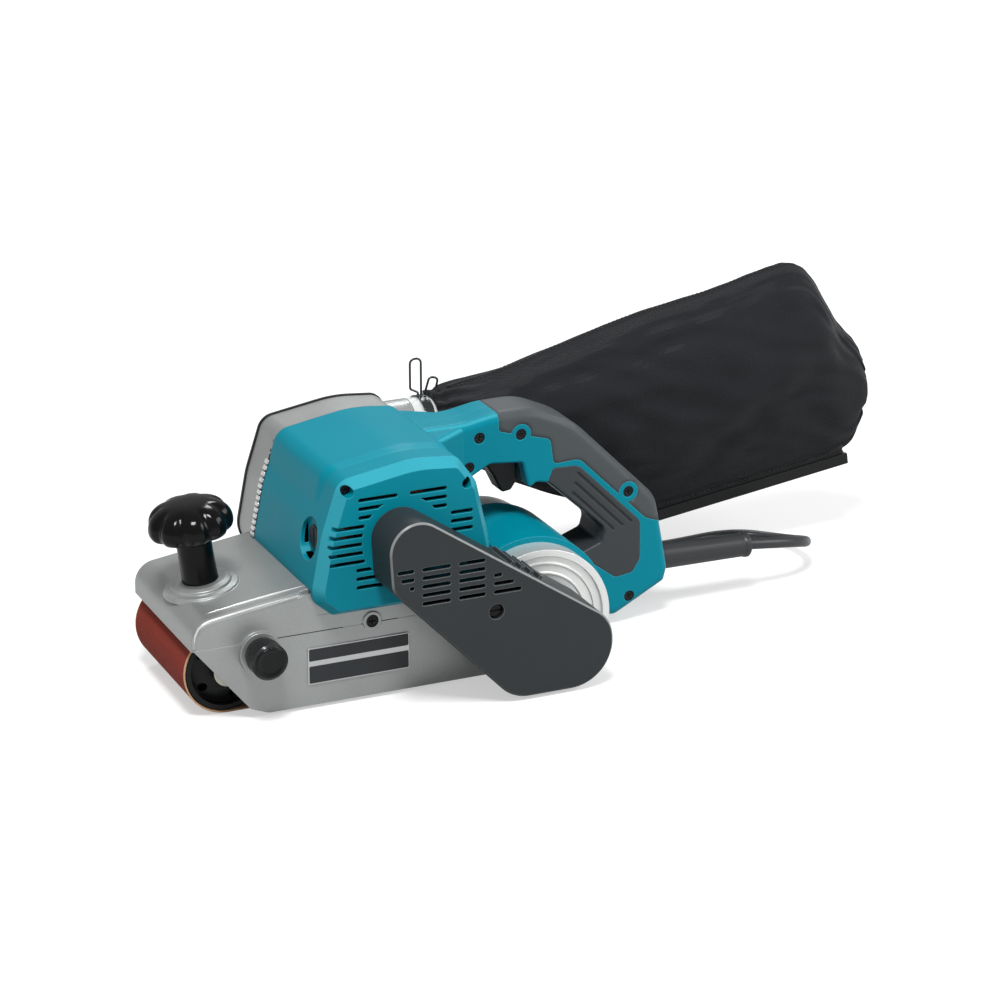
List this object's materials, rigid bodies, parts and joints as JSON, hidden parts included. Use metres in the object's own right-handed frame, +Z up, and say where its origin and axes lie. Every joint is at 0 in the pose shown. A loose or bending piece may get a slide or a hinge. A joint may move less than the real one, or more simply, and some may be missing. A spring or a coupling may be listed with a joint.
{
  "type": "belt sander",
  "caption": "Handheld belt sander with crosswise motor, side drive cover, front knob, D handle with trigger, tracking screw, tension lever, dust bag and power cord.",
  "frame": {"origin": "middle of the flat sanding face of the belt", "axes": "+X back towards the handle and cord, +Z up, +Y to the operator's right"},
  "size_m": [0.5831, 0.355, 0.2175],
  "materials": {
    "cast_silver": "satin die-cast aluminium",
    "plate_foil": "bare aluminium plate",
    "steel": "turned steel",
    "cork": "graphite-faced cork",
    "abrasive": "abrasive cloth belt",
    "black_matte": "matt moulded plastic",
    "zinc": "bright zinc-plated steel",
    "black_plastic": "gloss moulded phenolic",
    "dark_steel": "black oxide steel",
    "lagging": "moulded rubber on a steel drum",
    "belt_rubber": "ribbed rubber belt",
    "lamination": "stacked electrical steel",
    "copper": "bare and enamelled copper",
    "carbon": "pressed carbon",
    "teal_shell": "satin injection-moulded glass-filled nylon",
    "charcoal": "matt moulded plastic",
    "grip_rubber": "matt overmoulded rubber",
    "cord_rubber": "matt rubber sheath",
    "outlet": "pale grey moulded plastic",
    "bag_cloth": "woven polyester cloth"
  },
  "bodies": {
    "machine": {"main_frame": "cast_silver", "side_plate": "cast_silver", "nameplate": "plate_foil", "platen_plate": "steel", "platen_cork": "cork", "sanding_belt": "abrasive", "front_knob": "black_plastic", "knob_bolt": "steel", "plate_screw": "dark_steel", "panel_screws": "dark_steel", "drive_belt": "belt_rubber", "drive_bearings": "steel", "stator": "lamination", "field_coils": "copper", "motor_bearings": "steel", "carbon_brushes": "carbon", "brush_holders": "copper", "brush_caps": "black_matte", "motor_housing": "teal_shell", "fan_housing": "cast_silver", "fan_cover": "black_matte", "rear_housing": "cast_silver", "belt_cover": "charcoal", "cover_screw": "dark_steel", "rear_grip": "grip_rubber", "top_grip": "grip_rubber", "handle_left": "teal_shell", "handle_right": "teal_shell", "handle_screws": "dark_steel", "switch_body": "black_matte", "cord_guard": "cord_rubber", "power_cord": "cord_rubber", "cord_coil": "cord_rubber", "plug": "cord_rubber"},
    "tension_slide_body": {"tension_slide": "zinc", "tension_spring": "steel"},
    "fork_body": {"roller_fork": "zinc", "front_axle": "steel"},
    "front_roller_body": {"front_roller": "black_matte"},
    "tension_lever_body": {"tension_lever": "zinc"},
    "tracking_knob_body": {"tracking_knob": "black_matte"},
    "drive_body": {"drive_roller": "lagging", "drive_shaft": "steel", "large_pulley": "black_matte", "pulley_nut": "zinc"},
    "armature_body": {"armature": "lamination", "commutator": "copper", "motor_pulley": "steel", "dust_fan": "black_matte", "cooling_fan": "black_matte"},
    "trigger_body": {"trigger": "black_matte"},
    "lock_body": {"lock_button": "black_matte"},
    "bag_body": {"dust_nozzle": "outlet", "dust_bag": "bag_cloth", "bag_clip": "steel"},
    "rail_body": {"bag_rail": "black_matte"}
  },
  "joints": [
    {"name": "tension_slide", "type": "slide", "parent": "machine", "child": "tension_slide_body", "axis": [1, 0, 0], "range_m": [0, 0.008]},
    {"name": "fork_tilt", "type": "hinge", "parent": "tension_slide_body", "child": "fork_body", "pos_m": [-0.07, 0, 0.03], "axis": [0, 0, 1], "range_deg": [-0.6, 0.6]},
    {"name": "front_roller_spin", "type": "hinge", "parent": "fork_body", "child": "front_roller_body", "pos_m": [-0.1065, 0, 0.02985], "axis": [0, 1, 0], "continuous": true},
    {"name": "tension_lever_turn", "type": "hinge", "parent": "machine", "child": "tension_lever_body", "pos_m": [-0.054, 0.041, 0.0465], "axis": [0, 0, 1], "range_deg": [0, 95]},
    {"name": "tracking_knob_turn", "type": "hinge", "parent": "machine", "child": "tracking_knob_body", "pos_m": [-0.0895, -0.075, 0.0465], "axis": [0, 1, 0], "range_deg": [-150, 150]},
    {"name": "drive_roller_spin", "type": "hinge", "parent": "machine", "child": "drive_body", "pos_m": [0.1065, 0, 0.02985], "axis": [0, 1, 0], "continuous": true},
    {"name": "armature_spin", "type": "hinge", "parent": "machine", "child": "armature_body", "pos_m": [0.0069, 0, 0.1153], "axis": [0, 1, 0], "continuous": true},
    {"name": "trigger_press", "type": "hinge", "parent": "machine", "child": "trigger_body", "pos_m": [0.1, 0, 0.142], "axis": [0, -1, 0], "range_deg": [0, 12], "stiffness_Nm_per_rad": 1.2, "springref_deg": -8.59},
    {"name": "lock_press", "type": "slide", "parent": "machine", "child": "lock_body", "axis": [0, -1, 0], "range_m": [0, 0.003], "stiffness_N_per_m": 400, "springref_m": -0.002},
    {"name": "bag_swivel", "type": "hinge", "parent": "machine", "child": "bag_body", "pos_m": [0.07, 0.062, 0.14], "axis": [1, 0, 0], "range_deg": [-10, 50]},
    {"name": "rail_slide", "type": "slide", "parent": "bag_body", "child": "rail_body", "axis": [0.9906, 0, 0.1371], "range_m": [0, 0.16]}
  ],
  "couplings": [
    {"joint": "front_roller_spin", "follows": "drive_roller_spin", "ratio": 1},
    {"joint": "armature_spin", "follows": "drive_roller_spin", "ratio": 3.1429},
    {"joint": "tension_lever_turn", "follows": "tension_slide", "rad_per_m": 207.25},
    {"joint": "fork_tilt", "follows": "tracking_knob_turn", "ratio": 0.004}
  ]
}
